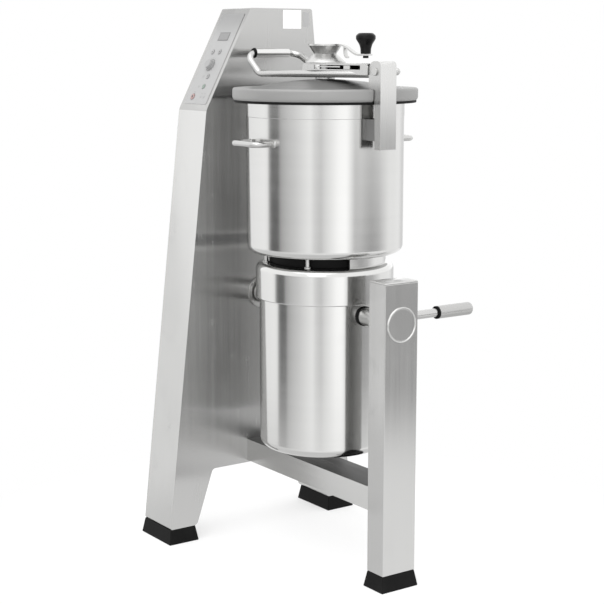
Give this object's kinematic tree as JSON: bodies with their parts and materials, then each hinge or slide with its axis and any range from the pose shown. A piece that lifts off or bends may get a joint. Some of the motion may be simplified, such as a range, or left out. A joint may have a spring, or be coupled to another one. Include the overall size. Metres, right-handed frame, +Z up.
{
  "type": "commercial food processor",
  "caption": "Floor-standing stainless cutter mixer: tilting bowl and motor between a control column and a post, with a hinged lid, crank wiper and knife.",
  "frame": {"origin": "on the floor, at the middle of the machine's footprint over its feet", "axes": "+Z up, +X from the control column towards the support post, -Y towards the operator in front"},
  "size_m": [0.749, 0.608, 1.4],
  "materials": {
    "stainless_sheet": "satin brushed",
    "stainless_polished": "polished brushed",
    "lid_steel": "matte grey satin",
    "rod_steel": "polished",
    "machined_steel": "machined",
    "grip_steel": "satin",
    "bronze": "machined",
    "motor_iron": "painted grey",
    "black_rubber": "matte",
    "black_plastic": "polished",
    "grey_plastic": "matte",
    "panel_film": "satin film",
    "display": "clear over a dark ground",
    "white_label": "printed film, blank",
    "grey_label": "film, blank",
    "green_key": "satin",
    "red_key": "satin",
    "board": "printed circuit board",
    "electronics": "anodised"
  },
  "bodies": {
    "stand": {"column_shell": "stainless_sheet", "column_side_cover": "stainless_sheet", "cover_screws": "machined_steel", "control_plate": "panel_film", "display_window": "display", "signal_lenses": "grey_plastic", "control_board": "board", "drive_electronics": "electronics", "bearing_plate": "machined_steel", "column_bearing": "machined_steel", "label_large": "white_label", "label_small": "grey_label", "cable_gland": "black_plastic", "front_foot": "black_rubber", "rear_foot": "black_rubber", "post_foot": "black_rubber", "base_beam": "stainless_sheet", "beam_bolts": "machined_steel", "support_post": "stainless_sheet", "post_cap": "stainless_sheet", "post_bush": "bronze", "pivot_cover": "stainless_sheet"},
    "minus_button": {"minus_key": "grey_plastic"},
    "plus_button": {"plus_key": "grey_plastic"},
    "pulse_button": {"pulse_key": "grey_plastic"},
    "start_button": {"start_key": "green_key"},
    "stop_button": {"stop_key": "red_key"},
    "speed_dial": {"speed_knob": "grey_plastic"},
    "tilting_unit": {"motor_casing": "stainless_polished", "motor_cap": "stainless_polished", "pivot_yoke": "machined_steel", "post_trunnion": "machined_steel", "column_trunnion": "machined_steel", "trunnion_seals": "black_rubber", "tilt_lever": "rod_steel", "lever_grip": "grip_steel", "lever_collar": "black_rubber", "motor_frame": "motor_iron", "stator": "motor_iron", "shaft_bearings": "machined_steel", "bowl_seat_ring": "black_rubber", "bowl_pegs": "machined_steel", "bowl_lock_block": "machined_steel", "bowl_shell": "stainless_polished", "bowl_handles": "rod_steel", "lid_bracket": "stainless_sheet", "hinge_pin": "rod_steel"},
    "drive": {"rotor": "motor_iron", "drive_shaft": "machined_steel", "knife_hub": "grey_plastic", "knife_blades": "stainless_polished"},
    "lid": {"lid_dome": "lid_steel", "lid_rim": "lid_steel", "lid_seal": "black_rubber", "lid_arm": "rod_steel", "lid_bridge": "stainless_sheet", "lid_hub": "lid_steel"},
    "handle_sleeve": {"grip_sleeve": "rod_steel"},
    "lid_crank": {"crank": "lid_steel"},
    "knob": {"crank_knob": "black_plastic"}
  },
  "joints": [
    {"name": "minus_press", "type": "slide", "parent": "stand", "child": "minus_button", "axis": [0, 0.8838, -0.4679], "range_m": [0, 0.0015], "stiffness_N_per_m": 300, "springref_m": -0.001},
    {"name": "plus_press", "type": "slide", "parent": "stand", "child": "plus_button", "axis": [0, 0.8838, -0.4679], "range_m": [0, 0.0015], "stiffness_N_per_m": 300, "springref_m": -0.001},
    {"name": "pulse_press", "type": "slide", "parent": "stand", "child": "pulse_button", "axis": [0, 0.8838, -0.4679], "range_m": [0, 0.0015], "stiffness_N_per_m": 300, "springref_m": -0.001},
    {"name": "start_press", "type": "slide", "parent": "stand", "child": "start_button", "axis": [0, 0.8838, -0.4679], "range_m": [0, 0.0015], "stiffness_N_per_m": 300, "springref_m": -0.001},
    {"name": "stop_press", "type": "slide", "parent": "stand", "child": "stop_button", "axis": [0, 0.8838, -0.4679], "range_m": [0, 0.0015], "stiffness_N_per_m": 300, "springref_m": -0.001},
    {"name": "speed_turn", "type": "hinge", "parent": "stand", "child": "speed_dial", "pos_m": [-0.3025, -0.11216, 1.25312], "axis": [0, -0.8838, 0.4679], "range_deg": [-135, 135]},
    {"name": "unit_tilt", "type": "hinge", "parent": "stand", "child": "tilting_unit", "pos_m": [0.0595, -0.006, 0.654], "axis": [1, 0, 0], "range_deg": [0, 100]},
    {"name": "knife_spin", "type": "hinge", "parent": "tilting_unit", "child": "drive", "pos_m": [0.0595, -0.006, 0.654], "axis": [0, 0, 1], "continuous": true},
    {"name": "lid_lift", "type": "hinge", "parent": "tilting_unit", "child": "lid", "pos_m": [0.2895, -0.006, 1.243], "axis": [0, 1, 0], "range_deg": [0, 90]},
    {"name": "sleeve_spin", "type": "hinge", "parent": "lid", "child": "handle_sleeve", "pos_m": [-0.1755, -0.006, 1.285], "axis": [0, 1, 0], "continuous": true},
    {"name": "crank_turn", "type": "hinge", "parent": "lid", "child": "lid_crank", "pos_m": [0.0595, -0.006, 1.29], "axis": [0, 0, 1], "continuous": true},
    {"name": "knob_spin", "type": "hinge", "parent": "lid_crank", "child": "knob", "pos_m": [0.15396, 0.04636, 1.3], "axis": [0, 0, 1], "continuous": true}
  ]
}
